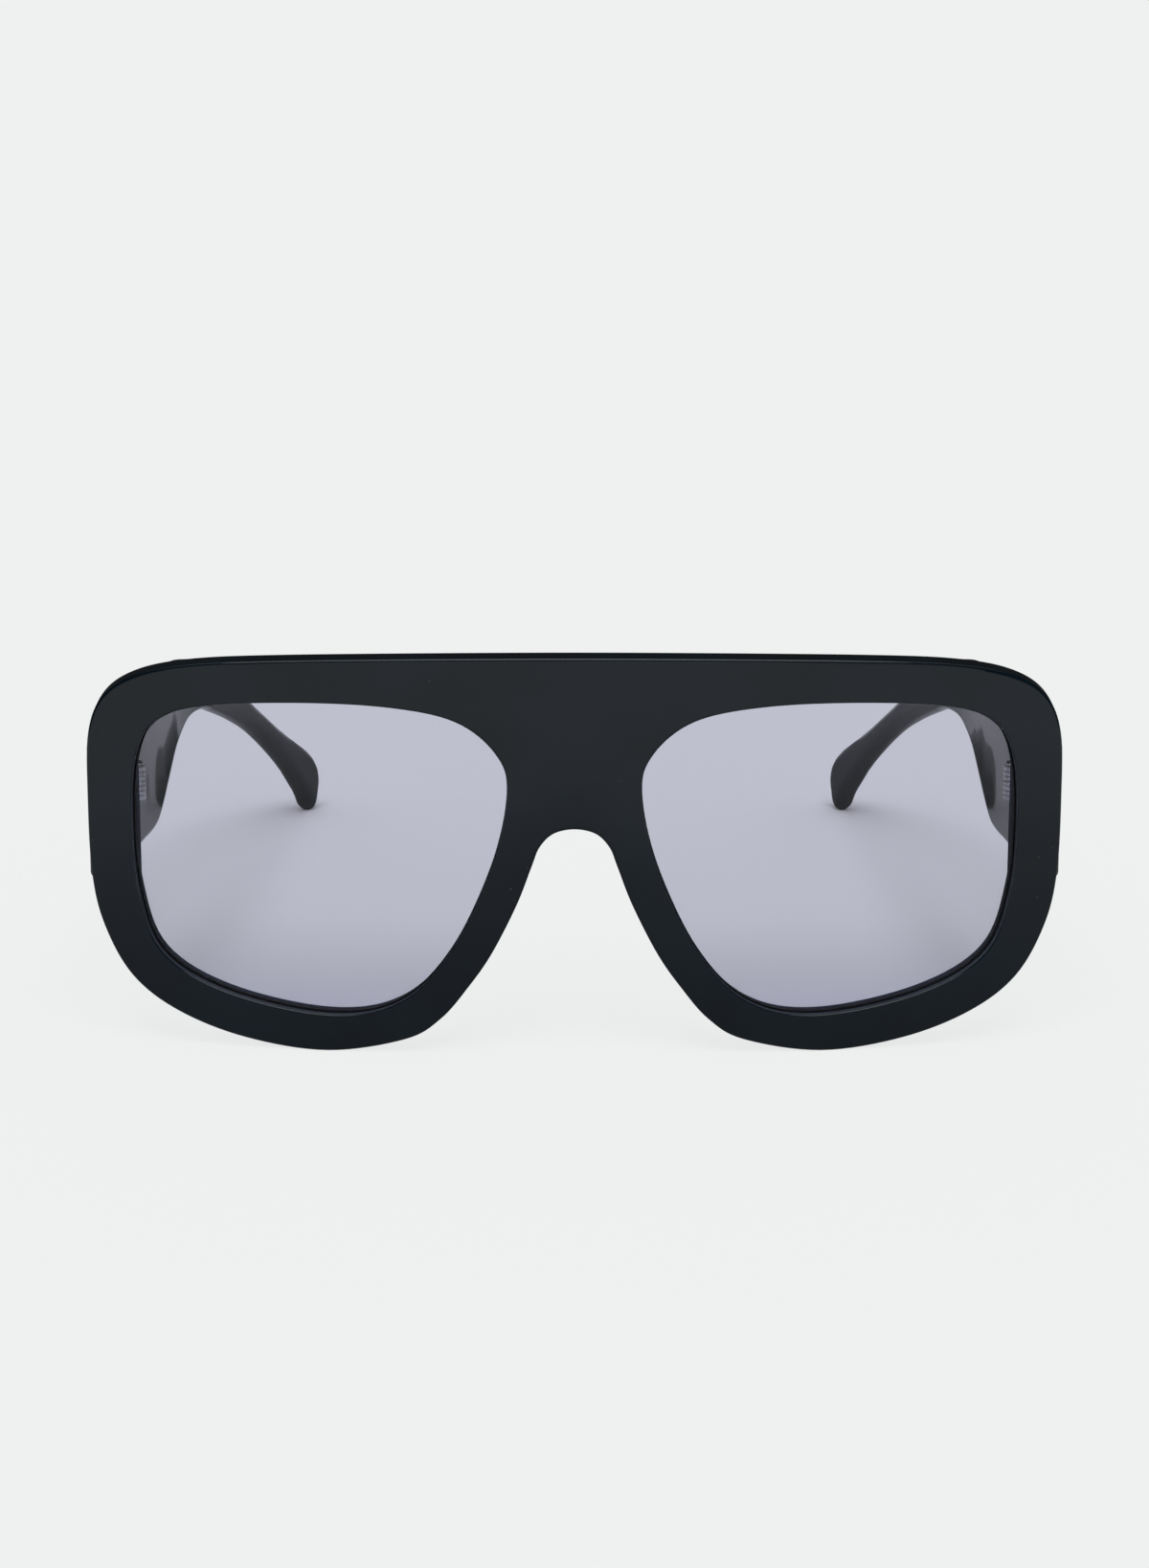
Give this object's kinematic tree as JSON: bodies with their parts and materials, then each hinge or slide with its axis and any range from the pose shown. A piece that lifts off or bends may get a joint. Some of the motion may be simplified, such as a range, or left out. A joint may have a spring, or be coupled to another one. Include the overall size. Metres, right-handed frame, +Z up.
{
  "type": "sunglasses",
  "caption": "Full-rim sunglasses with a wide flat-top acetate front, rounded shield-like rims, tinted lenses, nose pads and two folding temples on barrel hinges.",
  "frame": {"origin": "on the table, in the middle of the pair's width and of its depth", "axes": "+X to the wearer's left, +Y from the front face back to the temple tips, +Z up"},
  "size_m": [0.1494, 0.145, 0.0625],
  "materials": {
    "acetate": "black cellulose acetate, tumbled and buffed to a high gloss",
    "tinted_lens": "grey-violet tinted plastic lens, polished, no mirror coat",
    "hinge_metal": "nickel silver, tumbled bright",
    "screw_steel": "turned stainless steel",
    "core_steel": "drawn nickel silver wire, hidden inside the temple"
  },
  "bodies": {
    "front": {"frame_front": "acetate", "lens_right": "tinted_lens", "lens_left": "tinted_lens", "nose_pad_right": "acetate", "nose_pad_left": "acetate", "front_hinge_right": "hinge_metal", "front_hinge_left": "hinge_metal", "hinge_screw_right": "screw_steel", "hinge_screw_left": "screw_steel"},
    "left_arm": {"temple_left": "acetate", "temple_hinge_left": "hinge_metal", "core_wire_left": "core_steel"},
    "right_arm": {"temple_right": "acetate", "temple_hinge_right": "hinge_metal", "core_wire_right": "core_steel"}
  },
  "joints": [
    {"name": "left_fold", "type": "hinge", "parent": "front", "child": "left_arm", "pos_m": [0.06782, -0.05556, 0.039], "axis": [0, 0, 1], "range_deg": [0, 82]},
    {"name": "right_fold", "type": "hinge", "parent": "front", "child": "right_arm", "pos_m": [-0.06782, -0.05556, 0.039], "axis": [0, 0, -1], "range_deg": [0, 76]}
  ]
}
